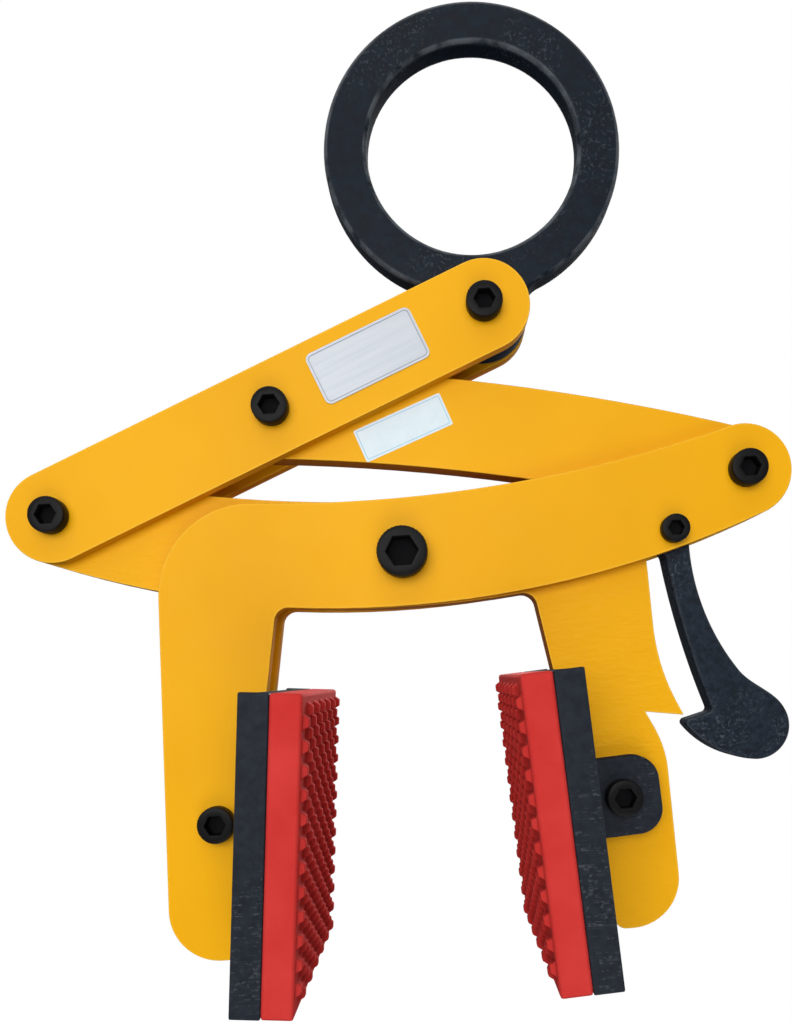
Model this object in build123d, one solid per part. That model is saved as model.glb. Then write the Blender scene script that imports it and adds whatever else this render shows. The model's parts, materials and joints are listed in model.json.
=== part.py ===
from build123d import *
from math import cos, radians, sin
import os

# Stone lifting clamp in millimetres. X runs across the jaws to the right, Y away from the
# viewer through the plates, and Z up. Drawings have x and z from the main pivot, and the
# finished pieces are moved so that the centre of the lifting ring is the origin.

# Layers: pieces of the middle layer lie between a front and a rear plate
outer_plate = 5.0
middle_gap = 10.0
side_play = 0.3
bar_width = 33.0

# Linkage pivots
tail_reach = 123.5
tail_rise = 21.5
lever_length = 171.0
lever_slope = 22.27
link_station = 87.0
link_bow = 4.6

# Lifting ring
ring_outer = 107.5
ring_inner = 76.2
ring_standoff = 5.5
ring_ear_play = 0.2
ring_neck_round = 8.0

# Jaw outline, drawn for the left jaw with its leg to the left
shoulder_x = 86.5
shoulder_z = 25.6
shoulder_round = 33.0
crown_x = 5.0
crown_z = 20.0
crotch_x = 46.2
crotch_z = -16.0
crotch_round = 5.0
belly_x = 20.0
belly_z = -17.9
tail_low_angle = -70.0
tail_high_angle = 107.0
leg_outside = 20.5
leg_inside = 3.7
leg_below = 48.8
heel_round = 18.0
toe_round = 4.0

# Latch: the hook hangs beside the right jaw's shoulder and is drawn latched, from its pivot.
# The barb's root lies under the tip of the right jaw's nose
hook_beside = 10.0
hook_z = 2.0
hook_lift = 8.0
hook_boss = 15.0
hook_neck_left = 245.0
hook_neck_right = -25.0
shank_inner_x = -2.6
shank_inner_z = -28.0
shank_outer_x = 10.2
shank_outer_z = -43.5
barb_root_x = 2.2
barb_root_z = -66.5
barb_reach = 11.3
barb_drop = 1.3
barb_belly_x = 1.5
barb_belly_z = -81.0
ball_x = 16.5
ball_z = -75.0
ball_width = 24.4
ball_low_angle = 260.0
ball_high_angle = 72.0
barb_round = 1.6
hook_blend = 4.0
nose_start = 48.0
nose_inset = 1.4
nose_gap = 0.2
notch_deep = 13.8
notch_rise = 2.1
notch_tall = 16.3

# Pads: steel channel with a studded rubber block, measured from the pad pivot
pad_x = 71.75
pad_z = -91.2
pad_height = 103.0
pad_below = 55.3
pad_depth = 88.0
channel_inset = 13.5
channel_depth = 10.0
channel_web = 5.0
channel_flange = 4.0
rubber_thick = 10.5
rubber_edge = 1.0
stud_pitch = 7.7
stud_base = 5.0
stud_height = 2.0
lug_height = 28.0
lug_reach = 13.7
lug_round = 9.0
lug_side = 6.0
lug_gap = 0.6
left_pad_lean = 5.5
right_pad_lean = 3.3

# Socket screws and lock nuts: thread and head sizes of each
screw_large = 12.0
head_large = 18.0
screw_medium = 8.0
head_medium = 13.0
screw_small = 6.0
head_small = 10.0
socket_share = 0.8
socket_deep = 0.5
screw_proud = 1.5
nut_bore_flats = 12

# Clearances round the screws, the second where the drag link takes up its swing
hole_play = 0.05
link_end_play = 0.75


def polar(radius, angle):
    """Point at a radius and an angle in degrees."""
    return Vector(radius * cos(radians(angle)), radius * sin(radians(angle)))


main_pivot = Vector(0, 0)
lever_tail = Vector(-tail_reach, tail_rise)
link_tail = Vector(tail_reach, tail_rise)
ring_pivot = lever_tail + polar(lever_length, lever_slope)
link_pivot = lever_tail + polar(link_station, lever_slope)
ring_rise = ring_outer / 2 + ring_standoff
ring_centre = ring_pivot + Vector(0, ring_rise)
hook_pivot = Vector(shoulder_x + hook_beside, hook_z)
barb_root = Vector(barb_root_x, barb_root_z)
left_pad_pivot = Vector(-pad_x, pad_z)
right_pad_pivot = Vector(pad_x, pad_z)

middle_face = middle_gap / 2 - side_play
inner_face = middle_gap / 2
outer_face = inner_face + outer_plate
end_round = bar_width / 2

web_outside = channel_inset + channel_depth - channel_web
rubber_back = channel_inset + channel_depth
rubber_face = rubber_back + rubber_thick
pad_low = -pad_below
pad_middle = pad_low + pad_height / 2


def plate(profile, front, back):
    """Solid between two depths from a drawing of x and z."""
    return extrude(Plane.XZ.offset(-back) * profile, amount=back - front)


def middle(profile):
    return plate(profile, -middle_face, middle_face)


def front_plate(profile):
    return plate(profile, -outer_face, -inner_face)


def rear_plate(profile):
    return plate(profile, inner_face, outer_face)


def hole(pivot, screw, play=hole_play):
    """Drawing of a screw hole."""
    return Pos(pivot) * Circle(screw / 2 + play)


def round_corner(profile, corner, radius):
    return fillet(profile.vertices().sort_by_distance(corner)[0], radius)


def straight_bar(start, length, slope, width):
    """Bar with round ends, from its first pivot."""
    centre = start + polar(length / 2, slope)
    return Pos(centre) * Rot(0, 0, slope) * SlotCenterToCenter(length, width)


def bowed_bar(start, end, width, bow):
    """Bar with round ends whose centre line bows to the left of its direction."""
    chord = end - start
    along = chord.normalized()
    across = Vector(-along.Y, along.X)
    radius = chord.length**2 / (8 * bow) + bow / 2
    centre = (start + end) / 2 + across * (bow - radius)
    start_out = (start - centre).normalized() * (width / 2)
    end_out = (end - centre).normalized() * (width / 2)
    top = centre + across * (radius + width / 2)
    bottom = centre + across * (radius - width / 2)
    start_cap = start + Vector(-start_out.Y, start_out.X)
    end_cap = end + Vector(end_out.Y, -end_out.X)
    outline = [
        ThreePointArc(start + start_out, top, end + end_out),
        ThreePointArc(end + end_out, end_cap, end - end_out),
        ThreePointArc(end - end_out, bottom, start - start_out),
        ThreePointArc(start - start_out, start_cap, start + start_out),
    ]
    return make_face(outline)


# Pieces of the lifting linkage


def lifting_ring():
    neck_length = ring_rise - ring_inner / 2
    neck = straight_bar(ring_pivot, neck_length, 90, bar_width - 2 * ring_ear_play)
    profile = Pos(ring_centre) * Circle(ring_outer / 2) + neck
    corners = profile.vertices().group_by(Axis.Y)[-1]
    profile = fillet(corners, ring_neck_round) - Pos(ring_centre) * Circle(ring_inner / 2)
    return middle(profile - hole(ring_pivot, screw_medium))


def lever_profile():
    bar = straight_bar(lever_tail, lever_length, lever_slope, bar_width)
    for pivot in (lever_tail, link_pivot, ring_pivot):
        bar -= hole(pivot, screw_medium)
    return bar


def drag_link():
    bar = bowed_bar(link_pivot, link_tail, bar_width, link_bow)
    bar -= hole(link_pivot, screw_medium)
    bar -= hole(link_tail, screw_medium, hole_play + link_end_play)
    return middle(bar)


# Jaws: the right one is the mirror image of the left one with a nose for the latch

shoulder = Vector(-shoulder_x, shoulder_z)
heel = left_pad_pivot + Vector(-leg_outside, -leg_below)
toe = left_pad_pivot + Vector(leg_inside, -leg_below)
crotch = Vector(-crotch_x, crotch_z)


def jaw_outline():
    tail_low = link_tail + polar(end_round, tail_low_angle)
    tail_tip = link_tail + polar(end_round, (tail_low_angle + tail_high_angle) / 2)
    tail_high = link_tail + polar(end_round, tail_high_angle)
    outline = [
        ThreePointArc(tail_low, tail_tip, tail_high),
        ThreePointArc(tail_high, Vector(crown_x, crown_z), shoulder),
        Line(shoulder, heel),
        Line(heel, toe),
        Line(toe, crotch),
        ThreePointArc(crotch, Vector(belly_x, belly_z), tail_low),
    ]
    profile = make_face(outline)
    profile = round_corner(profile, shoulder, shoulder_round)
    profile = round_corner(profile, heel, heel_round)
    profile = round_corner(profile, toe, toe_round)
    return round_corner(profile, crotch, crotch_round)


def left_jaw_profile():
    profile = jaw_outline() - hole(main_pivot, screw_large)
    for pivot in (link_tail, left_pad_pivot):
        profile -= hole(pivot, screw_medium)
    return profile - hole(hook_pivot, screw_small)


def right_jaw():
    nose_tip = hook_pivot + barb_root + Vector(-nose_inset, nose_gap)
    notch_root = nose_tip + Vector(-notch_deep, notch_rise)
    notch_low = notch_root + Vector(notch_tall / 2, -notch_tall)
    start_z = hook_z - nose_start
    leg_share = (shoulder_z - start_z) / (shoulder_z - heel.Y)
    nose_top = Vector(shoulder_x + (-heel.X - shoulder_x) * leg_share, start_z)
    profile = mirror(jaw_outline(), about=Plane.YZ)
    profile += make_face(Polyline(nose_top, nose_tip, notch_root, close=True))
    profile -= make_face(Polyline(notch_root, nose_tip, notch_low, close=True))
    profile -= hole(main_pivot, screw_large)
    for pivot in (lever_tail, right_pad_pivot):
        profile -= hole(pivot, screw_medium)
    return middle(profile)


# Latch hook, drawn latched from its pivot and turned outward to its lifted place


def hook_outline():
    boss_left = polar(hook_boss / 2, hook_neck_left)
    boss_right = polar(hook_boss / 2, hook_neck_right)
    barb_tip = barb_root + Vector(-barb_reach, -barb_drop)
    ball = Vector(ball_x, ball_z)
    ball_low = ball + polar(ball_width / 2, ball_low_angle)
    ball_high = ball + polar(ball_width / 2, ball_high_angle)
    outline = [
        ThreePointArc(boss_left, Vector(shank_inner_x, shank_inner_z), barb_root),
        Line(barb_root, barb_tip),
        ThreePointArc(barb_tip, Vector(barb_belly_x, barb_belly_z), ball_low),
        ThreePointArc(ball_low, ball + Vector(ball_width / 2, 0), ball_high),
        ThreePointArc(ball_high, Vector(shank_outer_x, shank_outer_z), boss_right),
        ThreePointArc(boss_right, Vector(0, hook_boss / 2), boss_left),
    ]
    profile = make_face(outline)
    for corner in (barb_tip, barb_root):
        profile = round_corner(profile, corner, barb_round)
    for corner in (ball_low, ball_high, boss_left):
        profile = round_corner(profile, corner, hook_blend)
    return profile


def latch_hook():
    body = middle(hook_outline() - Circle(screw_small / 2 + hole_play))
    return Pos(hook_pivot.X, 0, hook_pivot.Y) * Rot(0, -hook_lift, 0) * body


# Pads, drawn for the left jaw from the pad pivot with x towards the stone


def pad_carrier(lugs):
    """Channel with its lugs, each lug given by its front and rear depth."""
    outside = Rectangle(channel_depth, pad_depth, align=(Align.MAX, Align.CENTER))
    inside = Rectangle(
        channel_depth, pad_depth - 2 * channel_flange, align=(Align.MAX, Align.CENTER)
    )
    section = outside - Pos(-channel_web, 0) * inside
    carrier = extrude(Pos(rubber_back, 0, pad_low) * section, amount=pad_height)
    width = lug_reach + web_outside
    lug = Pos(-lug_reach, 0) * Rectangle(width, lug_height, align=(Align.MIN, Align.CENTER))
    lug = fillet(lug.vertices().group_by(Axis.X)[0], lug_round)
    lug -= hole(main_pivot, screw_medium)
    for front, back in lugs:
        carrier += plate(lug, front, back)
    return carrier


def pad_rubber():
    block = Pos(rubber_back, 0, pad_middle) * Box(
        rubber_thick, pad_depth, pad_height, align=(Align.MIN, Align.CENTER, Align.CENTER)
    )
    block = chamfer(block.faces().sort_by(Axis.X)[-1].edges(), rubber_edge)
    columns = int((pad_depth - 2 * rubber_edge - stud_base) / stud_pitch / 2)
    rows = int((pad_height - 2 * rubber_edge - stud_base) / stud_pitch)
    stud = loft([Rectangle(stud_base, stud_base).face(), Vertex(0, 0, stud_height)])
    face = Plane((rubber_face, 0, pad_middle), x_dir=(0, 1, 0), z_dir=(1, 0, 0))
    spots = list(GridLocations(2 * stud_pitch, stud_pitch, columns + 1, rows + 1))
    spots += list(GridLocations(2 * stud_pitch, stud_pitch, columns, rows))
    return block + [face * spot * stud for spot in spots]


def on_left(piece):
    return Pos(-pad_x, 0, pad_z) * Rot(0, left_pad_lean, 0) * piece


def on_right(piece):
    return Pos(pad_x, 0, pad_z) * Rot(0, -right_pad_lean, 0) * mirror(piece, about=Plane.YZ)


left_lugs = [(-middle_face, middle_face)]
lug_near = middle_face + lug_gap
lug_far = lug_near + lug_side
right_lugs = [(-lug_far, -lug_near), (lug_near, lug_far)]


# Screws from the front with nuts at the back


def screw_and_nut(pivot, screw, head, face):
    """Socket screw and lock nut that clamp plates whose faces lie at +-face."""
    nut_top = face + screw
    cap = plate(Circle(head / 2), -face - screw, -face)
    socket = RegularPolygon(socket_share * screw / 2, 6, major_radius=False)
    cap -= plate(socket, -face - screw, -face - screw * (1 - socket_deep))
    bolt = cap + plate(Circle(screw / 2), -face, nut_top + screw_proud)
    bore = RegularPolygon(screw / 2 + hole_play, nut_bore_flats, major_radius=False)
    nut = plate(RegularPolygon(head / 2, 6, major_radius=False) - bore, face, nut_top)
    place = Pos(pivot.X, 0, pivot.Y)
    return place * bolt, place * nut


pieces = {
    "lifting_ring": lifting_ring(),
    "lever_plate_front": front_plate(lever_profile()),
    "lever_plate_rear": rear_plate(lever_profile()),
    "drag_link": drag_link(),
    "left_jaw_plate_front": front_plate(left_jaw_profile()),
    "left_jaw_plate_rear": rear_plate(left_jaw_profile()),
    "right_jaw": right_jaw(),
    "latch_hook": latch_hook(),
    "left_pad_carrier": on_left(pad_carrier(left_lugs)),
    "left_pad_rubber": on_left(pad_rubber()),
    "right_pad_carrier": on_right(pad_carrier(right_lugs)),
    "right_pad_rubber": on_right(pad_rubber()),
}

joints = {
    "main": (main_pivot, screw_large, head_large, outer_face),
    "lever_tail": (lever_tail, screw_medium, head_medium, outer_face),
    "ring": (ring_pivot, screw_medium, head_medium, outer_face),
    "lever_link": (link_pivot, screw_medium, head_medium, outer_face),
    "link_tail": (link_tail, screw_medium, head_medium, outer_face),
    "hook": (hook_pivot, screw_small, head_small, outer_face),
    "left_pad": (left_pad_pivot, screw_medium, head_medium, outer_face),
    "right_pad": (right_pad_pivot, screw_medium, head_medium, lug_far),
}
for name, sizes in joints.items():
    pieces[name + "_bolt"], pieces[name + "_nut"] = screw_and_nut(*sizes)

os.makedirs("parts", exist_ok=True)
for name, piece in pieces.items():
    export_step(Pos(-ring_centre.X, 0, -ring_centre.Y) * piece, f"parts/{name}.step")
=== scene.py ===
import json
import math

import bmesh
import bpy
from mathutils import Matrix, Vector
from mathutils.geometry import interpolate_bezier


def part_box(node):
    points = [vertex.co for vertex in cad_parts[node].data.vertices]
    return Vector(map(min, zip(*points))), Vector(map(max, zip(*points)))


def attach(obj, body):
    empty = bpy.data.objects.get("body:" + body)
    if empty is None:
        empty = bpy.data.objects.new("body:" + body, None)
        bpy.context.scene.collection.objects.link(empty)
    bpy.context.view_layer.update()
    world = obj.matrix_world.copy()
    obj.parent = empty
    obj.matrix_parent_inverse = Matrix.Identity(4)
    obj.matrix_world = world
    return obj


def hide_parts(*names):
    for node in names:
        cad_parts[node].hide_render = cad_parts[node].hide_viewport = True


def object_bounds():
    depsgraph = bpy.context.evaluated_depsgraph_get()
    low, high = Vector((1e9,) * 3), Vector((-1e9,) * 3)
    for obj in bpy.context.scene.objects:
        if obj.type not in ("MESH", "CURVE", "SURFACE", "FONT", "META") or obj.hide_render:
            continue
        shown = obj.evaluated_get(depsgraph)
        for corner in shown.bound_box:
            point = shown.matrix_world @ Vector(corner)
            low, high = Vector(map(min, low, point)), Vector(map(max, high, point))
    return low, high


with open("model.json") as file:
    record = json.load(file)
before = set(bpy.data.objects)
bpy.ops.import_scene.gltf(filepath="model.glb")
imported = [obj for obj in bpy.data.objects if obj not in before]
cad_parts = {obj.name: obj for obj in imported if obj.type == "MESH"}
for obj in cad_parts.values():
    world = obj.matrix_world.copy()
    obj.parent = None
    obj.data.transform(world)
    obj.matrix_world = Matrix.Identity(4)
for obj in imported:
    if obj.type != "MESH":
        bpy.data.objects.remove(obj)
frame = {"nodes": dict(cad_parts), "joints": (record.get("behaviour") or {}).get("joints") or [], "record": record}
cad_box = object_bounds()
nodes = frame["nodes"]
pivots = {joint["name"]: Vector(joint["pos_m"]) for joint in frame["joints"]}
main_pivot = pivots["jaw_close"]

MM = 0.001

# Pads, from the pad pivot: the rubber block on its channel
PAD_HEIGHT = 103.0 * MM
PAD_BELOW = 55.3 * MM
PAD_DEPTH = 88.0 * MM
RUBBER_BACK = 23.5 * MM
RUBBER_FACE = 34.0 * MM
LEFT_LEAN = math.radians(5.5)
RIGHT_LEAN = math.radians(3.3)

# Studs on the rubber, and its rounded edges; a stud's round is a share of the block's
STUD_PITCH = 7.7 * MM
STUD_BASE = 5.0 * MM
STUD_TOP = 2.6 * MM
STUD_HEIGHT = 2.0 * MM
STUD_MARGIN = 1.7 * MM
BLOCK_ROUND = 1.0 * MM
STUD_ROUND = 0.35

# Edge rounds of the cut plates, the forged ring, the hook and the channels
PLATE_EDGE = 0.7 * MM
RING_EDGE = 2.2 * MM
HOOK_EDGE = 1.1 * MM
CHANNEL_EDGE = 0.6 * MM
EDGE_STEPS = 2
RING_EDGE_STEPS = 4

# Corners that sweep smoothly into their neighbours, from the hook's pivot at rest: place and reach
HOOK_SWEEPS = [((28.9 * MM, -60.0 * MM), 10.5 * MM)]
JAW_SWEEPS = [((-7.5 * MM, -48.0 * MM), 14.0 * MM), ((-6.5 * MM, -77.2 * MM), 8.0 * MM)]
SWEEP_STEP = 1.2 * MM

# Turns between faces: small enough to join, large enough to round, and where smooth shading breaks
FLAT_TURN = math.radians(0.5)
SHARP_TURN = math.radians(35)
STUD_TURN = math.radians(20)
BLOCK_TURN = math.radians(80)
PLATE_CREASE = math.radians(50)
RUBBER_CREASE = math.radians(40)
SCREW_CREASE = math.radians(34)

# Points this near are one, and grid lines count as one to this many places of a metre
MERGE = 0.001 * MM
GRID_PLACES = 7

# A face belongs to a flat side when its normal has more than this along Y
FLAT_SIDE = 0.5

# Socket screws by the width of their heads in mm: thread radius, and height of the low head
SCREWS = {18.0: (6.0 * MM, 7.0 * MM), 13.0: (4.0 * MM, 5.0 * MM), 10.0: (3.0 * MM, 4.0 * MM)}
SIDES = 72

# Shares of the thread's width, the head's height and the head's radius
SOCKET_ACROSS = 0.8
SOCKET_DEEP = 0.8
SOCKET_POINT = 0.12
HEAD_EDGE = 0.09
KNURL_CUT = 0.0175

# Threads at the tip of a screw: how many, then shares of the thread's radius
THREAD_TURNS = 4
THREAD_PITCH = 0.32
THREAD_ROOT = 0.86
THREAD_END = 0.8

# Gap in radius between a screw and its nut
NUT_CLEARANCE = 0.05 * MM

# Bare plates: the metal one on the lever, the paper one on the drag link
NAMEPLATE = {
    "size": (41.0 * MM, 19.6 * MM), "corner": 2.4 * MM, "thick": 0.4 * MM,
    "line_inset": 0.8 * MM, "line_corner": 1.6 * MM, "line_thick": 0.03 * MM,
}
STICKER = {
    "size": (34.1 * MM, 12.4 * MM), "corner": 0.6 * MM, "thick": 0.1 * MM,
    "line_inset": 0.7 * MM, "line_corner": 0.5 * MM, "line_thick": 0.02 * MM,
}
LINE_WIDTH = 0.3 * MM
LEAST_BEND = 0.2 * MM
CORNER_STEPS = 6
NAMEPLATE_ALONG = 125.9 * MM
NAMEPLATE_ABOVE = 1.6 * MM
STICKER_TURN = math.radians(2.0)
STICKER_FROM_MAIN = Vector((3.1, 0.0, 46.1)) * MM

# Camera, from the main pivot
CAMERA_FROM_MAIN = Vector((8.5, -300.6, -44.2)) * MM
CAMERA_ROLL = math.radians(3.9)
CAMERA_NEAR = 10.0 * MM
IMAGE_HEIGHT = 1024
FOCAL_PIXELS = 819
CENTRE_SHIFT = (-39, 164)
SENSOR = 36.0

# Soft boxes, all aimed at the main pivot: place from it in metres, side in metres, and power in watts
LAMPS = {
    "key": ((-0.4, -1.15, 0.25), 0.8, 6.9),
    "fill": ((0.15, -1.2, 0.30), 0.8, 4.5),
    "top": ((-0.1, -0.5, 1.2), 1.0, 4.6),
    "rear": ((0.4, 1.2, 0.5), 1.0, 17.0),
    "low": ((0.1, -0.9, -0.9), 0.8, 4.5),
}
WORLD_LIGHT = 0.18
FLOOR_BELOW = 1.1
FLOOR_REACH = 6.0
FLOOR_TONE = 0.20
FLOOR_GLOW = 0.97
WHITE = (1.0, 1.0, 1.0, 1.0)

# Tones of the yellow enamel: flat sides; rims, lighter as a painted highlight; and cut sides of the outer plates
# and of the bars between them, darker as painted shade, most of all on the bars
ENAMEL_TONES = [(0.3, (0.84, 0.395, 0.002)), (0.7, (0.91, 0.440, 0.003))]
ENAMEL_RIM_HIGHLIGHT = (0.98, 0.60, 0.06)
OUTER_CUT_SHADE = (0.66, 0.290, 0.001)
INNER_CUT_SHADE = (0.28, 0.100, 0.001)

# Tones of the black paints: lumps, lighter on their crests as a painted highlight; small rubbed marks; worn edges;
# and rubbed rims, which also carry a painted highlight
RING_TONES = [(0.35, (0.001, 0.003, 0.007)), (0.65, (0.002, 0.007, 0.014))]
HOOK_TONES = [
    (0.36, (0.004, 0.007, 0.012)),
    (0.46, (0.007, 0.012, 0.021)),
    (0.66, (0.012, 0.019, 0.030)),
]
CHANNEL_TONES = [(0.30, (0.006, 0.009, 0.014)), (0.70, (0.014, 0.018, 0.026))]
RING_MARKS = (0.030, 0.038, 0.048)
HOOK_MARKS = (0.055, 0.068, 0.082)
CHANNEL_MARKS = (0.050, 0.058, 0.068)
WORN_EDGE = (0.026, 0.034, 0.044)
RUBBED_RIM_AND_GLINT = (0.085, 0.097, 0.112)

# Tones of the blackened screws, the rubber with painted shade in its recesses, and the metal plate
OXIDE_DARK = (0.001, 0.001, 0.0013)
RUBBER_TONES = [(0.3, (0.57, 0.031, 0.027)), (0.75, (0.66, 0.049, 0.043))]
RUBBER_RECESS_SHADE = (0.13, 0.004, 0.003)
ALUMINIUM_TONES = [(0.3, (0.36, 0.385, 0.42)), (0.7, (0.44, 0.465, 0.50))]

# Stretch of noise along X, Y and Z: under 1 draws it out
EVEN = (1.0, 1.0, 1.0)
RIPPLE_STRETCH = (0.6, 1.0, 1.6)
CUT_STRETCH = (1.0, 0.05, 1.0)
CHANNEL_STRETCH = (0.15, 1.0, 1.8)
BRUSH_STRETCH = (0.05, 1.0, 1.0)

# Axis that a surface looks along, where it starts to count as cut and where it wholly does
PLATE_CUT = ("Y", 0.85, 0.50)
RING_CUT = ("Y", 0.40, 0.15)
CHANNEL_CUT = ("Z", 0.35, 0.70)

# Round edges between the flat sides and the cut sides
RIM_INSIDE = ("Y", 0.985, 0.90)
RIM_OUTSIDE = ("Y", 0.35, 0.55)

# Sockets of a Mix node of colours, by number because some share their names
MIX_FACTOR = 0
MIX_FIRST = 6
MIX_SECOND = 7
MIX_RESULT = 2


# Shader graphs


def graph(name, specular=0.5):
    """New material: itself, its node tree and its shader."""
    material = bpy.data.materials.new(name)
    material.use_nodes = True
    tree = material.node_tree
    shader = tree.nodes["Principled BSDF"]
    shader.inputs["Specular IOR Level"].default_value = specular
    return material, tree, shader


def add(tree, kind, **settings):
    """Node with its settings: properties by name, and sockets by their label."""
    node = tree.nodes.new(kind)
    for key, value in settings.items():
        if hasattr(node, key):
            setattr(node, key, value)
        else:
            node.inputs[key.replace("_", " ")].default_value = value
    return node


def noise(tree, scale, detail=3.0, stretch=EVEN):
    """Noise in the part's own coordinates, with features about 1 / scale metres across."""
    place = add(tree, "ShaderNodeTexCoord")
    mapping = add(tree, "ShaderNodeMapping", Scale=stretch)
    texture = add(tree, "ShaderNodeTexNoise", Scale=scale, Detail=detail, Roughness=0.55)
    tree.links.new(place.outputs["Object"], mapping.inputs["Vector"])
    tree.links.new(mapping.outputs["Vector"], texture.inputs["Vector"])
    return texture.outputs["Fac"]


def ramp(tree, value, stops):
    """Colour ramp over a value; a stop is a place and a colour."""
    node = add(tree, "ShaderNodeValToRGB")
    elements = node.color_ramp.elements
    while len(elements) < len(stops):
        elements.new(0.5)
    for element, (place, colour) in zip(elements, stops):
        element.position = place
        element.color = (*colour, 1.0)
    tree.links.new(value, node.inputs["Fac"])
    return node.outputs["Color"]


def spread(tree, value, low, high, start=0.0, end=1.0):
    """Value from start to end, spread over a range from low to high."""
    node = add(tree, "ShaderNodeMapRange", From_Min=start, From_Max=end, To_Min=low, To_Max=high)
    tree.links.new(value, node.inputs["Value"])
    return node.outputs["Result"]


def combine(tree, operation, first, second):
    """Two values combined by a named operation."""
    node = add(tree, "ShaderNodeMath", operation=operation)
    tree.links.new(first, node.inputs[0])
    tree.links.new(second, node.inputs[1])
    return node.outputs["Value"]


def size_of(tree, value):
    """Value without its sign."""
    node = add(tree, "ShaderNodeMath", operation="ABSOLUTE")
    tree.links.new(value, node.inputs[0])
    return node.outputs["Value"]


def mix_colour(tree, factor, first, second_colour):
    """Colour mixed towards one fixed colour by a factor."""
    node = add(tree, "ShaderNodeMix", data_type="RGBA")
    tree.links.new(factor, node.inputs[MIX_FACTOR])
    tree.links.new(first, node.inputs[MIX_FIRST])
    node.inputs[MIX_SECOND].default_value = (*second_colour, 1.0)
    return node.outputs[MIX_RESULT]


def edge_mask(tree, radius, gain):
    """High along edges, where a rounded normal leaves the true one."""
    rounded = add(tree, "ShaderNodeBevel", samples=4, Radius=radius)
    true = add(tree, "ShaderNodeNewGeometry")
    dot = add(tree, "ShaderNodeVectorMath", operation="DOT_PRODUCT")
    tree.links.new(rounded.outputs["Normal"], dot.inputs[0])
    tree.links.new(true.outputs["True Normal"], dot.inputs[1])
    return spread(tree, dot.outputs["Value"], low=0.0, high=1.0, start=1.0, end=1.0 - 1.0 / gain)


def turn_mask(tree, axis, start, end):
    """Mask by how far a surface looks along an axis of the part: 0 at start and 1 at end."""
    place = add(tree, "ShaderNodeTexCoord")
    parts = add(tree, "ShaderNodeSeparateXYZ")
    tree.links.new(place.outputs["Normal"], parts.inputs["Vector"])
    return spread(tree, size_of(tree, parts.outputs[axis]), low=0.0, high=1.0, start=start, end=end)


def recess_shade_mask(tree, distance, start, end):
    """High where a point is closed in by its own piece, for painted shade: 0 at openness start and 1 at end."""
    node = add(tree, "ShaderNodeAmbientOcclusion", samples=8, only_local=True, Distance=distance)
    return spread(tree, node.outputs["AO"], low=0.0, high=1.0, start=start, end=end)


def patchy_marks(tree, stretch):
    """Mask of short crinkled strokes that gather in patches."""
    crinkle = noise(tree, scale=420.0, detail=2.0, stretch=stretch)
    away = size_of(tree, spread(tree, crinkle, low=-1.0, high=1.0))
    strokes = spread(tree, away, low=1.0, high=0.0, start=0.02, end=0.09)
    breaks = noise(tree, scale=640.0, detail=1.0)
    broken = spread(tree, breaks, low=0.0, high=1.0, start=0.48, end=0.60)
    areas = noise(tree, scale=34.0, detail=1.0)
    patches = spread(tree, areas, low=0.0, high=1.0, start=0.44, end=0.56)
    return combine(tree, "MULTIPLY", combine(tree, "MULTIPLY", strokes, broken), patches)


def add_bump(tree, shader, height, strength, depth):
    """Bump over what already bends the shader's normal."""
    bump = add(tree, "ShaderNodeBump", Strength=strength, Distance=depth)
    tree.links.new(height, bump.inputs["Height"])
    normal = shader.inputs["Normal"]
    if normal.is_linked:
        tree.links.new(normal.links[0].from_socket, bump.inputs["Normal"])
    tree.links.new(bump.outputs["Normal"], normal)


# Materials


def yellow_enamel(name, cut_shade, ripple):
    """Satin enamel with ripples of a given strength; its cut sides are rough and streaked, and darker as painted
    shade.
    """
    material, tree, shader = graph(name, specular=0.11)
    cut = turn_mask(tree, *PLATE_CUT)
    base = ramp(tree, noise(tree, scale=14.0), ENAMEL_TONES)
    # Edges are lightened to a rim tone as a painted highlight
    highlit = mix_colour(tree, edge_mask(tree, radius=1.0 * MM, gain=8.0), base, ENAMEL_RIM_HIGHLIGHT)
    # Cut sides are darkened to the given tone as painted shade
    tree.links.new(mix_colour(tree, cut, highlit, cut_shade), shader.inputs["Base Color"])
    sheen = spread(tree, noise(tree, scale=70.0, detail=5.0), low=0.34, high=0.52)
    rough_cut = spread(tree, cut, low=0.0, high=0.85)
    tree.links.new(combine(tree, "MAXIMUM", sheen, rough_cut), shader.inputs["Roughness"])
    peel = noise(tree, scale=900.0, detail=2.0)
    dust = noise(tree, scale=2600.0, detail=1.0)
    waves = noise(tree, scale=330.0, detail=2.0, stretch=RIPPLE_STRETCH)
    drag = noise(tree, scale=900.0, detail=2.0, stretch=CUT_STRETCH)
    add_bump(tree, shader, peel, strength=0.2, depth=0.12 * MM)
    add_bump(tree, shader, dust, strength=0.08, depth=0.05 * MM)
    add_bump(tree, shader, waves, strength=ripple, depth=0.5 * MM)
    add_bump(tree, shader, combine(tree, "MULTIPLY", drag, cut), strength=0.6, depth=0.2 * MM)
    return material


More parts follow.
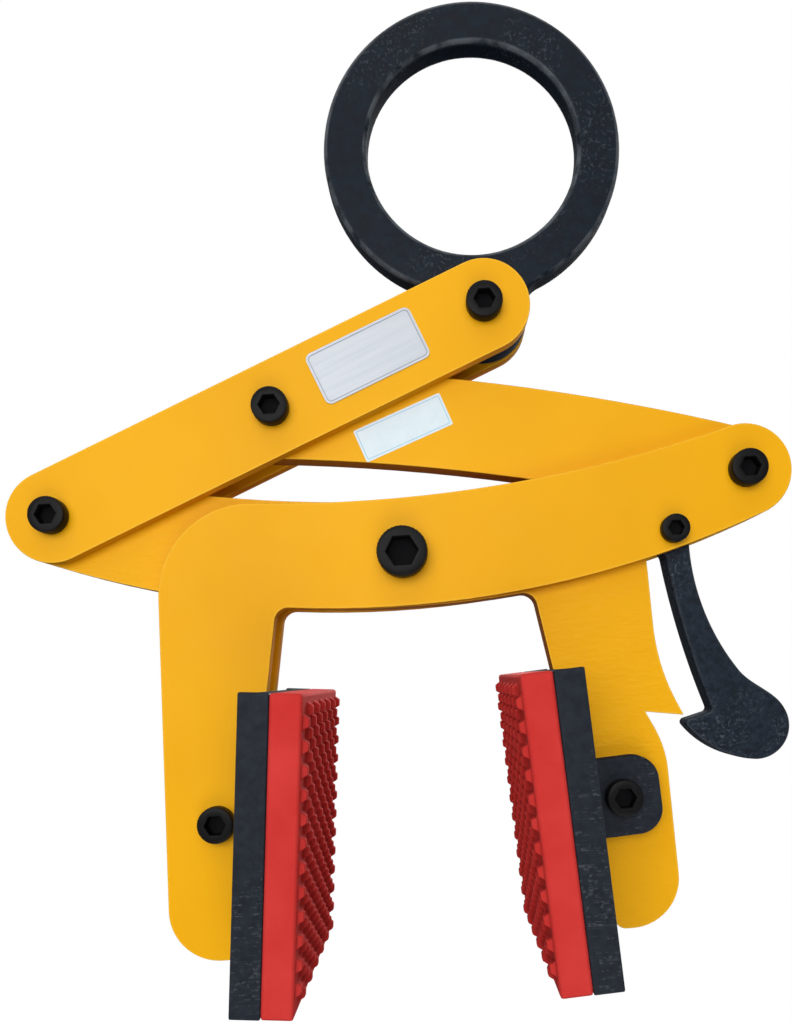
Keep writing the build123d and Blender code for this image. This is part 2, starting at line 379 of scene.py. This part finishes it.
def black_paint(name, lump_scale, lump_depth, tones, mark_stretch, mark_tone, roughness, dull, rim_wear_and_glint):
    """Black paint on lumpy steel, lighter on the lump crests as painted highlight: marks and edges are worn
    lighter, rims are worn lighter and carry a painted highlight, and cut sides are dull.
    """
    material, tree, shader = graph(name, specular=0.10)
    lumps = noise(tree, lump_scale, detail=4.0)
    # The tone follows the lumps' height, lighter on the crests: a painted highlight on the relief
    base = ramp(tree, lumps, tones)
    marked = mix_colour(tree, patchy_marks(tree, mark_stretch), base, mark_tone)
    worn = mix_colour(tree, edge_mask(tree, radius=1.2 * MM, gain=2.2), marked, WORN_EDGE)
    # Rounded rims are lightened in patches: rubbed paint together with a painted highlight on the bevels
    rim = combine(tree, "MULTIPLY", turn_mask(tree, *RIM_INSIDE), turn_mask(tree, *RIM_OUTSIDE))
    wear = noise(tree, scale=120.0, detail=4.0)
    scuffs_and_glints = spread(tree, wear, low=0.0, high=rim_wear_and_glint, start=0.35, end=0.60)
    worn_and_glinting = mix_colour(tree, combine(tree, "MULTIPLY", rim, scuffs_and_glints), worn, RUBBED_RIM_AND_GLINT)
    tree.links.new(worn_and_glinting, shader.inputs["Base Color"])
    cloud = noise(tree, scale=160.0, detail=6.0)
    gloss = spread(tree, cloud, low=roughness, high=roughness + 0.22)
    rough_cut = spread(tree, turn_mask(tree, *dull), low=0.0, high=0.97)
    tree.links.new(combine(tree, "MAXIMUM", gloss, rough_cut), shader.inputs["Roughness"])
    grit = noise(tree, scale=1900.0, detail=2.0)
    add_bump(tree, shader, lumps, strength=0.7, depth=lump_depth)
    add_bump(tree, shader, grit, strength=0.2, depth=0.06 * MM)
    return material


def black_oxide(name, light, worn, roughness):
    """Blackened steel, cloudy between dark and light, with worn edges."""
    material, tree, shader = graph(name, specular=0.08)
    cloud = noise(tree, scale=320.0, detail=5.0)
    base = ramp(tree, cloud, [(0.3, OXIDE_DARK), (0.8, light)])
    edged = mix_colour(tree, edge_mask(tree, radius=0.3 * MM, gain=2.5), base, worn)
    tree.links.new(edged, shader.inputs["Base Color"])
    gloss = spread(tree, cloud, low=roughness, high=roughness + 0.18)
    tree.links.new(gloss, shader.inputs["Roughness"])
    grit = noise(tree, scale=2400.0, detail=2.0)
    add_bump(tree, shader, grit, strength=0.15, depth=0.04 * MM)
    return material


def red_rubber():
    """Matt rubber with painted shade between its studs."""
    material, tree, shader = graph("red_rubber", specular=0.08)
    cloud = noise(tree, scale=60.0, detail=5.0)
    base = ramp(tree, cloud, RUBBER_TONES)
    shade_in_recesses = recess_shade_mask(tree, distance=9.0 * MM, start=0.97, end=0.48)
    tree.links.new(mix_colour(tree, shade_in_recesses, base, RUBBER_RECESS_SHADE), shader.inputs["Base Color"])
    tree.links.new(spread(tree, cloud, low=0.76, high=0.90), shader.inputs["Roughness"])
    grain = noise(tree, scale=1500.0, detail=3.0)
    add_bump(tree, shader, grain, strength=0.14, depth=0.06 * MM)
    return material


def satin_aluminium():
    """Pale metal, brushed along the plate."""
    material, tree, shader = graph("satin_aluminium")
    brush = noise(tree, scale=500.0, detail=4.0, stretch=BRUSH_STRETCH)
    tree.links.new(ramp(tree, brush, ALUMINIUM_TONES), shader.inputs["Base Color"])
    tree.links.new(spread(tree, brush, low=0.34, high=0.5), shader.inputs["Roughness"])
    add_bump(tree, shader, brush, strength=0.05, depth=0.03 * MM)
    shader.inputs["Metallic"].default_value = 0.25
    return material


def two_tone(name, scale, dark, light, roughness):
    """Plain material that drifts between two tones."""
    material, tree, shader = graph(name)
    cloud = noise(tree, scale, detail=4.0)
    tree.links.new(ramp(tree, cloud, [(0.3, dark), (0.7, light)]), shader.inputs["Base Color"])
    gloss = spread(tree, cloud, low=roughness, high=roughness + 0.14)
    tree.links.new(gloss, shader.inputs["Roughness"])
    return material


# The bars between the plates take a copy of the enamel with more painted shade on its cut sides
YELLOW = yellow_enamel("yellow_enamel", OUTER_CUT_SHADE, ripple=0.05)
YELLOW_SHADED_LINK = yellow_enamel("yellow_shaded_link", INNER_CUT_SHADE, ripple=0.05)
YELLOW_SHADED_JAW = yellow_enamel("yellow_shaded_jaw", INNER_CUT_SHADE, ripple=0.65)
RING = black_paint(
    "black_forged", lump_scale=260.0, lump_depth=0.3 * MM, tones=RING_TONES, mark_stretch=EVEN,
    mark_tone=RING_MARKS, roughness=0.30, dull=RING_CUT, rim_wear_and_glint=0.9,
)
HOOK = black_paint(
    "black_hammered", lump_scale=560.0, lump_depth=0.45 * MM, tones=HOOK_TONES, mark_stretch=EVEN,
    mark_tone=HOOK_MARKS, roughness=0.32, dull=PLATE_CUT, rim_wear_and_glint=0.35,
)
CHANNEL = black_paint(
    "black_channel", lump_scale=420.0, lump_depth=0.15 * MM, tones=CHANNEL_TONES,
    mark_stretch=CHANNEL_STRETCH, mark_tone=CHANNEL_MARKS, roughness=0.36, dull=CHANNEL_CUT, rim_wear_and_glint=0.0,
)
OXIDE = black_oxide("black_oxide", light=(0.005, 0.005, 0.006), worn=(0.028, 0.028, 0.030), roughness=0.26)
# A darker, duller copy of the blackened steel for inside the sockets, as painted shade
SOCKET_SHADE = black_oxide("black_socket_shade", light=(0.002, 0.002, 0.003), worn=(0.004, 0.004, 0.005), roughness=0.60)
RUBBER = red_rubber()
ALUMINIUM = satin_aluminium()
NYLON = two_tone("nylon_insert", 400.0, (0.55, 0.56, 0.55), (0.63, 0.64, 0.62), roughness=0.4)
PAPER = two_tone("sticker_paper", 180.0, (0.62, 0.74, 0.80), (0.68, 0.79, 0.84), roughness=0.32)
BLUE = two_tone("sticker_blue", 180.0, (0.26, 0.50, 0.68), (0.30, 0.55, 0.72), roughness=0.32)
INK = two_tone("plate_ink", 180.0, (0.16, 0.18, 0.23), (0.20, 0.22, 0.28), roughness=0.32)


# Meshes


def new_object(name, mesh, materials):
    """Object of a mesh, in the scene, with its materials."""
    piece = bpy.data.objects.new(name, mesh)
    bpy.context.scene.collection.objects.link(piece)
    for material in materials:
        mesh.materials.append(material)
    return piece


def face_outwards(work):
    """Turn every face of a closed mesh outwards."""
    work.normal_update()
    bmesh.ops.recalc_face_normals(work, faces=work.faces)


def from_bmesh(name, work, materials):
    """Object of a finished working mesh, which is freed."""
    face_outwards(work)
    mesh = bpy.data.meshes.new(name)
    work.to_mesh(mesh)
    work.free()
    return new_object(name, mesh, materials)


def smooth_by_angle(piece, angle):
    """Smooth shading with creases where faces turn by more than an angle."""
    mesh = piece.data
    mesh.shade_smooth()
    mesh.set_sharp_from_angle(angle=angle)


def flat_faces(piece):
    """Large faces rule the normals, so that they shade flat up to their rounded edges."""
    normals = piece.modifiers.new("normals", "WEIGHTED_NORMAL")
    normals.mode = "FACE_AREA"
    normals.weight = 100
    normals.keep_sharp = True


def seat(piece, body, node):
    """Fix a finished piece to its body, and hide the node that it stands for."""
    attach(piece, body)
    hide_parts(node)


def body_of_node(node):
    """Name of the body that a node is on."""
    bodies = frame["record"]["behaviour"]["bodies"]
    return next(body for body, members in bodies.items() if node in members)


# Plates, ring, hook and channels: the nodes with rounded edges


def sharp_edges(work):
    """Edges to round: those between two faces that turn sharply."""
    return [e for e in work.edges if len(e.link_faces) == 2 and e.calc_face_angle() > SHARP_TURN]


def outline_links(work):
    """Each corner of a plate's outline on a flat side, with its neighbours along the outline."""
    def flat(face):
        return abs(face.normal.y) > FLAT_SIDE

    links = {}
    for edge in work.edges:
        if len(edge.link_faces) == 2 and flat(edge.link_faces[0]) != flat(edge.link_faces[1]):
            for vert in edge.verts:
                links.setdefault(vert, {})[edge.other_vert(vert)] = edge
    return links


def divide_outline(work, near):
    """Cut the outline into short steps where it is near a corner."""
    rim = {}
    for vert, others in outline_links(work).items():
        if near(vert):
            for edge in others.values():
                rim.setdefault(round(edge.calc_length() / SWEEP_STEP), set()).add(edge)
    for cuts, edges in rim.items():
        if cuts:
            bmesh.ops.subdivide_edges(work, edges=list(edges), cuts=cuts, use_grid_fill=True)
    work.normal_update()


def sweep_corner(work, spot, reach):
    """Draw a corner of the outline out into a smooth sweep, on both flat sides."""
    def near(vert):
        return math.hypot(vert.co.x - spot.x, vert.co.z - spot.z) < reach

    divide_outline(work, near)
    links = outline_links(work)
    ends = [v for v in links if not near(v) and any(near(other) for other in links[v])]
    while ends:
        chain = [ends.pop()]
        chain.append(next(v for v in links[chain[0]] if near(v)))
        while near(chain[-1]):
            chain.append(next(v for v in links[chain[-1]] if v is not chain[-2]))
        ends.remove(chain[-1])
        before = next(v for v in links[chain[0]] if v is not chain[1])
        after = next(v for v in links[chain[-1]] if v is not chain[-2])
        first, last = chain[0].co.copy(), chain[-1].co.copy()
        pull = (last - first).length / 3
        leave = first + (first - before.co).normalized() * pull
        arrive = last - (after.co - last).normalized() * pull
        places = interpolate_bezier(first, leave, arrive, last, len(chain))
        for vert, place in zip(chain, places):
            vert.co = place


def rounded_copy(node, edge, steps, material, sweeps=()):
    """The node with its sharp edges rounded, in place of the node."""
    work = bmesh.new()
    work.from_mesh(nodes[node].data)
    bmesh.ops.remove_doubles(work, verts=work.verts, dist=MERGE)
    bmesh.ops.dissolve_limit(work, angle_limit=FLAT_TURN, verts=work.verts, edges=work.edges)
    for (across, up), reach in sweeps:
        sweep_corner(work, pivots["hook_latch"] + Vector((across, 0, up)), reach)
    bmesh.ops.bevel(
        work, geom=sharp_edges(work), offset=edge, offset_type="OFFSET", segments=steps, profile=0.5,
        affect="EDGES", clamp_overlap=True,
    )
    piece = from_bmesh(node + "_skin", work, [material])
    smooth_by_angle(piece, PLATE_CREASE)
    flat_faces(piece)
    seat(piece, body_of_node(node), node)


for plate in ("lever_plate_front", "lever_plate_rear", "left_jaw_plate_front", "left_jaw_plate_rear"):
    rounded_copy(plate, PLATE_EDGE, EDGE_STEPS, YELLOW)
rounded_copy("drag_link", PLATE_EDGE, EDGE_STEPS, YELLOW_SHADED_LINK)
rounded_copy("right_jaw", PLATE_EDGE, EDGE_STEPS, YELLOW_SHADED_JAW, JAW_SWEEPS)
rounded_copy("lifting_ring", RING_EDGE, RING_EDGE_STEPS, RING)
rounded_copy("latch_hook", HOOK_EDGE, EDGE_STEPS, HOOK, HOOK_SWEEPS)
for channel in ("left_pad_carrier", "right_pad_carrier"):
    rounded_copy(channel, CHANNEL_EDGE, EDGE_STEPS, CHANNEL)


# Studded rubber blocks


def stud_centres():
    """Places of the studs across and up the face; from the front, every other column has one stud more."""
    span = PAD_DEPTH - 2 * STUD_MARGIN - STUD_BASE
    gaps = 2 * int(span / STUD_PITCH / 2) + 1
    rows = int((PAD_HEIGHT - 2 * STUD_MARGIN - STUD_BASE) / STUD_PITCH)
    centres = []
    for column in range(gaps + 1):
        across = span * (column / gaps - 0.5)
        count = rows + column % 2
        centres += [(across, (row - (count - 1) / 2) * STUD_PITCH) for row in range(count)]
    return centres


def stud_edges(centre, axis):
    """Both edges of a stud's base along one axis of the face."""
    return [round(centre[axis] + side * STUD_BASE / 2, GRID_PLACES) for side in (-1, 1)]


def grid_lines(centres, axis, half_size):
    """Lines of a face grid: both edges of every stud, and the ends of the face."""
    marks = {-half_size, half_size}
    for centre in centres:
        marks.update(stud_edges(centre, axis))
    return sorted(marks)


def under_stud(centres, across, up):
    """Whether a place on the face is covered by a stud."""
    reach = STUD_BASE / 2
    return any(abs(across - y) < reach and abs(up - z) < reach for y, z in centres)


def add_stud(work, points, lines, centre, middle):
    """Tapered stud over its square of grid points, which its four sides start from."""
    left, right = (lines[0].index(edge) for edge in stud_edges(centre, 0))
    low, high = (lines[1].index(edge) for edge in stud_edges(centre, 1))
    sides = [
        [points[i][low] for i in range(left, right + 1)],
        [points[right][k] for k in range(low, high + 1)],
        [points[i][high] for i in range(right, left - 1, -1)],
        [points[left][k] for k in range(high, low - 1, -1)],
    ]
    top = []
    for across, up in ((-1, -1), (1, -1), (1, 1), (-1, 1)):
        y = centre[0] + across * STUD_TOP / 2
        z = centre[1] + up * STUD_TOP / 2 + middle
        top.append(work.verts.new((RUBBER_FACE + STUD_HEIGHT, y, z)))
    for number, side in enumerate(sides):
        work.faces.new(side + [top[(number + 1) % 4], top[number]])
    work.faces.new(top)


def add_face(work):
    """Studded face of a block in the pad's own frame; gives the points of its rim in order."""
    centres = stud_centres()
    ys = grid_lines(centres, 0, PAD_DEPTH / 2)
    zs = grid_lines(centres, 1, PAD_HEIGHT / 2)
    middle = PAD_HEIGHT / 2 - PAD_BELOW
    points = [[work.verts.new((RUBBER_FACE, y, z + middle)) for z in zs] for y in ys]
    for i in range(len(ys) - 1):
        for k in range(len(zs) - 1):
            if not under_stud(centres, (ys[i] + ys[i + 1]) / 2, (zs[k] + zs[k + 1]) / 2):
                work.faces.new((points[i][k], points[i + 1][k], points[i + 1][k + 1], points[i][k + 1]))
    for centre in centres:
        add_stud(work, points, (ys, zs), centre, middle)
    rim = [column[0] for column in points]
    rim += points[-1][1:]
    rim += [column[-1] for column in reversed(points[:-1])]
    rim += list(reversed(points[0][1:-1]))
    return rim


def weigh_rounds(work):
    """Mark the edges to round: wholly round the block, and a share of that on the studs."""
    weight = work.edges.layers.float.new("bevel_weight_edge")
    for edge in work.edges:
        turn = edge.calc_face_angle()
        if turn > BLOCK_TURN:
            edge[weight] = 1.0
        elif turn > STUD_TURN:
            edge[weight] = STUD_ROUND


def rubber_block(name, place, body, node):
    """Block whose face carries tapered studs, in one closed mesh."""
    work = bmesh.new()
    rim = add_face(work)
    back = [work.verts.new((RUBBER_BACK, vert.co.y, vert.co.z)) for vert in rim]
    for i in range(len(rim)):
        n = (i + 1) % len(rim)
        work.faces.new((rim[i], rim[n], back[n], back[i]))
    work.faces.new(back)
    bmesh.ops.delete(work, geom=[v for v in work.verts if not v.link_faces], context="VERTS")
    work.transform(place)
    face_outwards(work)
    weigh_rounds(work)
    piece = from_bmesh(name, work, [RUBBER])
    bevel = piece.modifiers.new("rounds", "BEVEL")
    bevel.limit_method = "WEIGHT"
    bevel.width = BLOCK_ROUND
    bevel.segments = EDGE_STEPS
    smooth_by_angle(piece, RUBBER_CREASE)
    seat(piece, body, node)


def pad_place(pivot, lean, side):
    """From the pad's own frame to the part; side is 1 on the left jaw and -1 on the right."""
    mirror = Matrix.Diagonal((side, 1, 1, 1))
    return Matrix.Translation(pivot) @ Matrix.Rotation(side * lean, 4, "Y") @ mirror


for word, lean, side in (("left", LEFT_LEAN, 1), ("right", RIGHT_LEAN, -1)):
    place = pad_place(pivots[word + "_pad_tilt"], lean, side)
    rubber_block(word + "_rubber_studded", place, word + "_pad", word + "_pad_rubber")


# Screws and nuts, turned about their own axis


def turned(node, rings, materials, paint, closed):
    """Mesh of rings along Y, each a depth and a radius by corner number, in place of the node.

    A closed one joins its last ring to its first. An open one starts at a point and ends in a flat face.
    """
    work = bmesh.new()
    loops = []
    for depth, radius in rings:
        loop = []
        for i in range(SIDES):
            angle = 2 * math.pi * i / SIDES
            size = radius(i)
            loop.append(work.verts.new((size * math.cos(angle), depth, size * math.sin(angle))))
        loops.append(loop)
    for level, (near, far) in enumerate(zip(loops, loops[1:])):
        for i in range(SIDES):
            n = (i + 1) % SIDES
            work.faces.new((near[i], near[n], far[n], far[i])).material_index = paint[level]
    if closed:
        bmesh.ops.remove_doubles(work, verts=loops[0] + loops[-1], dist=MERGE)
    else:
        work.faces.new(loops[-1]).material_index = paint[-1]
        bmesh.ops.pointmerge(work, verts=loops[0], merge_co=(0, rings[0][0], 0))
    piece = from_bmesh(node + "_turned", work, materials)
    smooth_by_angle(piece, SCREW_CREASE)
    low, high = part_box(node)
    centre = (low + high) / 2
    piece.location = (centre.x, 0, centre.z)
    seat(piece, body_of_node(node), node)


def round_ring(radius):
    """The same radius at every corner."""
    return lambda i: radius


def knurled(radius, cut):
    """Radius that is cut back at every other corner."""
    return lambda i: radius - cut * (i % 2)


def hexagon(across):
    """Radius of a hexagon of that width across its flats."""
    def radius(i):
        angle = 2 * math.pi * i / SIDES
        off = (angle % (math.pi / 3)) - math.pi / 6
        return across / 2 / math.cos(off)
    return radius


def cut_hexagon(across, limit):
    """Hexagon whose corners are cut back to a circle."""
    shape = hexagon(across)
    return lambda i: min(shape(i), limit)


def thread_rings(start, end, radius):
    """Rings of the threads at the tip of a screw."""
    pitch = THREAD_PITCH * radius
    rings = [(start, round_ring(radius))]
    for turn in range(THREAD_TURNS):
        base = start + turn * pitch
        rings.append((base + 0.5 * pitch, round_ring(THREAD_ROOT * radius)))
        rings.append((base + pitch, round_ring(radius)))
    rings.append((end, round_ring(THREAD_END * radius)))
    return rings


def cap_screw(node):
    """Socket screw in place of its plain solid, with a knurled head and a threaded tip.

    Most numbers in its rings are shares of the head's rounded edge.
    """
    low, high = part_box(node)
    head = (high.x - low.x) / 2
    thread, tall = SCREWS[round(2 * head / MM, 1)]
    under = low.y + 2 * thread
    front = under - tall
    floor = front + SOCKET_DEEP * tall
    across = SOCKET_ACROSS * 2 * thread
    edge = HEAD_EDGE * head
    groove = KNURL_CUT * head
    socket = [
        (floor + SOCKET_POINT * head, round_ring(MERGE)),
        (floor, hexagon(across * 0.98)),
        (front + edge * 0.7, hexagon(across)),
    ]
    body = [
        (front + 0.02 * MM, hexagon(across + edge)),
        (front, hexagon(across + edge * 1.6)),
        (front, round_ring(head - 1.25 * edge)),
        (front + 0.3 * edge, round_ring(head - 0.45 * edge)),
        (front + 1.1 * edge, round_ring(head - groove)),
        (front + 1.3 * edge, knurled(head, groove)),
        (under - 0.9 * edge, knurled(head, groove)),
        (under - 0.5 * edge, round_ring(head - groove)),
        (under, round_ring(head - 0.6 * edge)),
        (under, round_ring(thread)),
    ]
    body += thread_rings(high.y - (THREAD_TURNS + 1) * THREAD_PITCH * thread, high.y, thread)
    # The socket's rings take the darker copy, as painted shade
    paint = [1] * len(socket) + [0] * len(body)
    turned(node, socket + body, [OXIDE, SOCKET_SHADE], paint, closed=False)


def lock_nut(node):
    """Hexagon nut with chamfered corners and a collar that holds a nylon ring.

    The numbers in its rings are shares of its height, its width, its corners' radius and its bore.
    """
    low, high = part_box(node)
    across = high.z - low.z
    height = high.y - low.y
    corner = across / 2 / math.cos(math.pi / 6)
    bore = SCREWS[round(across / MM, 1)][0] + NUT_CLEARANCE
    collar = low.y + 0.72 * height
    insert = collar - 0.02 * height
    shell = [
        (insert, round_ring(bore)),
        (low.y, round_ring(bore)),
        (low.y, round_ring(0.47 * across)),
        (low.y + 0.07 * height, cut_hexagon(across, 0.965 * corner)),
        (low.y + 0.11 * height, hexagon(across)),
        (collar - 0.10 * height, hexagon(across)),
        (collar - 0.05 * height, cut_hexagon(across, 0.95 * corner)),
        (collar, round_ring(0.45 * across)),
        (high.y - 0.10 * height, round_ring(0.43 * across)),
        (high.y - 0.02 * height, round_ring(0.40 * across)),
        (high.y, round_ring(0.37 * across)),
    ]
    nylon = [
        (high.y - 0.04 * height, round_ring(0.355 * across)),
        (high.y - 0.05 * height, round_ring(bore * 1.03)),
    ]
    step = [
        (insert, round_ring(bore * 1.01)),
        (insert, round_ring(bore)),
    ]
    paint = [0] * len(shell) + [1] * len(nylon) + [0] * len(step)
    turned(node, shell + nylon + step, [OXIDE, NYLON], paint, closed=True)


for node in sorted(nodes):
    if node.endswith("_bolt"):
        cap_screw(node)
    if node.endswith("_nut"):
        lock_nut(node)


# Bare plates


def rounded_outline(width, height, corner):
    """Points of a rectangle with round corners."""
    outline = []
    for sx, sz, start in ((1, 1, 0), (-1, 1, 90), (-1, -1, 180), (1, -1, 270)):
        for step in range(CORNER_STEPS + 1):
            angle = math.radians(start + 90 * step / CORNER_STEPS)
            x = sx * (width / 2 - corner) + corner * math.cos(angle)
            z = sz * (height / 2 - corner) + corner * math.sin(angle)
            outline.append((x, z))
    return outline


def rounded_sheet(name, size, corner, thick, place, material):
    """Thin plate with round corners; its face looks along -Y before it is placed."""
    outline = rounded_outline(*size, corner)
    work = bmesh.new()
    front = [work.verts.new((x, -thick, z)) for x, z in outline]
    back = [work.verts.new((x, 0, z)) for x, z in outline]
    work.faces.new(front)
    work.faces.new(list(reversed(back)))
    for i in range(len(outline)):
        n = (i + 1) % len(outline)
        work.faces.new((front[n], front[i], back[i], back[n]))
    piece = from_bmesh(name, work, [material])
    piece.matrix_world = place
    return piece


def frame_line(name, size, corner, thick, place, material):
    """Printed line round a plate, as a thin closed strip."""
    inner_size = [side - 2 * LINE_WIDTH for side in size]
    rings = [
        rounded_outline(*size, corner),
        rounded_outline(*inner_size, max(corner - LINE_WIDTH, LEAST_BEND)),
    ]
    work = bmesh.new()
    loops = [[work.verts.new((x, y, z)) for x, z in ring] for ring in rings for y in (-thick, 0)]
    outer_front, outer_back, inner_front, inner_back = loops
    for i in range(len(outer_front)):
        n = (i + 1) % len(outer_front)
        work.faces.new((outer_front[i], outer_front[n], inner_front[n], inner_front[i]))
        work.faces.new((outer_back[n], outer_back[i], inner_back[i], inner_back[n]))
        work.faces.new((outer_front[n], outer_front[i], outer_back[i], outer_back[n]))
        work.faces.new((inner_front[i], inner_front[n], inner_back[n], inner_back[i]))
    piece = from_bmesh(name, work, [material])
    piece.matrix_world = place
    return piece


def bare_plate(name, line_name, sizes, materials, spot, turn, body):
    """Plate that lies on its body at a spot, with a line printed round it."""
    place = Matrix.Translation(spot) @ turn
    plate = rounded_sheet(name, sizes["size"], sizes["corner"], sizes["thick"], place, materials[0])
    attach(plate, body)
    line_size = [side - 2 * sizes["line_inset"] for side in sizes["size"]]
    place = Matrix.Translation(spot - Vector((0, sizes["thick"], 0))) @ turn
    line = frame_line(line_name, line_size, sizes["line_corner"], sizes["line_thick"], place, materials[1])
    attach(line, body)


lever_start = pivots["lever_fold"]
lever_along = (pivots["ring_swing"] - lever_start).normalized()
lever_across = Vector((-lever_along.z, 0, lever_along.x))
lever_turn = Matrix.Rotation(-math.atan2(lever_along.z, lever_along.x), 4, "Y")
nameplate_spot = lever_start + lever_along * NAMEPLATE_ALONG + lever_across * NAMEPLATE_ABOVE
nameplate_spot.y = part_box("lever_plate_front")[0].y
bare_plate(
    "lever_bare_plate", "lever_plate_line", NAMEPLATE, (ALUMINIUM, INK), nameplate_spot, lever_turn, "lever"
)

sticker_turn = lever_turn @ Matrix.Rotation(STICKER_TURN, 4, "Y")
sticker_spot = main_pivot + STICKER_FROM_MAIN
sticker_spot.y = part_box("drag_link")[0].y
bare_plate(
    "link_bare_sticker", "link_sticker_line", STICKER, (PAPER, BLUE), sticker_spot, sticker_turn, "drag_link"
)


# Stage


def seen_rays(tree):
    """1 on camera, glossy and transmission rays."""
    path = add(tree, "ShaderNodeLightPath").outputs
    seen = combine(tree, "MAXIMUM", path["Is Camera Ray"], path["Is Glossy Ray"])
    return combine(tree, "MAXIMUM", seen, path["Is Transmission Ray"])


def stage_floor(height):
    """Pale floor that stays white to the camera and keeps a soft shadow."""
    mesh = bpy.data.meshes.new("floor")
    corners = [(x * FLOOR_REACH, y * FLOOR_REACH, height) for x, y in ((-1, -1), (1, -1), (1, 1), (-1, 1))]
    mesh.from_pydata(corners, [], [(0, 1, 2, 3)])
    material = bpy.data.materials.new("pale_floor")
    material.use_nodes = True
    tree = material.node_tree
    tree.nodes.clear()
    out = add(tree, "ShaderNodeOutputMaterial")
    diffuse = add(tree, "ShaderNodeBsdfDiffuse", Color=(FLOOR_TONE, FLOOR_TONE, FLOOR_TONE, 1.0))
    glow = add(tree, "ShaderNodeEmission", Color=WHITE)
    both = add(tree, "ShaderNodeAddShader")
    tree.links.new(spread(tree, seen_rays(tree), low=0.0, high=FLOOR_GLOW), glow.inputs["Strength"])
    tree.links.new(diffuse.outputs["BSDF"], both.inputs[0])
    tree.links.new(glow.outputs["Emission"], both.inputs[1])
    tree.links.new(both.outputs["Shader"], out.inputs["Surface"])
    floor = new_object("floor", mesh, [material])


def white_world():
    """World that is white to the camera and in reflections, and lights the part dimly."""
    world = bpy.data.worlds.new("studio")
    bpy.context.scene.world = world
    world.use_nodes = True
    tree = world.node_tree
    background = tree.nodes["Background"]
    background.inputs["Color"].default_value = WHITE
    strength = spread(tree, seen_rays(tree), low=WORLD_LIGHT, high=1.0)
    tree.links.new(strength, background.inputs["Strength"])


def soft_box(name, place, side, power):
    """Square lamp aimed at the main pivot."""
    lamp = bpy.data.lights.new(name, "AREA")
    lamp.shape = "SQUARE"
    lamp.size = side
    lamp.energy = power
    thing = bpy.data.objects.new(name, lamp)
    bpy.context.scene.collection.objects.link(thing)
    thing.location = main_pivot + Vector(place)
    thing.rotation_euler = (-Vector(place)).to_track_quat("-Z", "Y").to_euler()


def photo_camera():
    """Camera at the photograph's viewing angle."""
    camera = bpy.data.objects.new("camera", bpy.data.cameras.new("camera"))
    bpy.context.scene.collection.objects.link(camera)
    bpy.context.scene.camera = camera
    camera.data.sensor_fit = "VERTICAL"
    camera.data.sensor_height = SENSOR
    camera.data.lens = SENSOR * FOCAL_PIXELS / IMAGE_HEIGHT
    camera.data.shift_x = CENTRE_SHIFT[0] / IMAGE_HEIGHT
    camera.data.shift_y = CENTRE_SHIFT[1] / IMAGE_HEIGHT
    camera.data.clip_start = CAMERA_NEAR
    upright = Matrix.Rotation(math.radians(90), 4, "X")
    rolled = Matrix.Rotation(CAMERA_ROLL, 4, "Y")
    camera.matrix_world = Matrix.Translation(main_pivot + CAMERA_FROM_MAIN) @ rolled @ upright


stage_floor(cad_box[0][2] - FLOOR_BELOW)
white_world()
for name, (place, side, power) in LAMPS.items():
    soft_box(name, place, side, power)
photo_camera()
bpy.context.scene.view_settings.view_transform = "Standard"
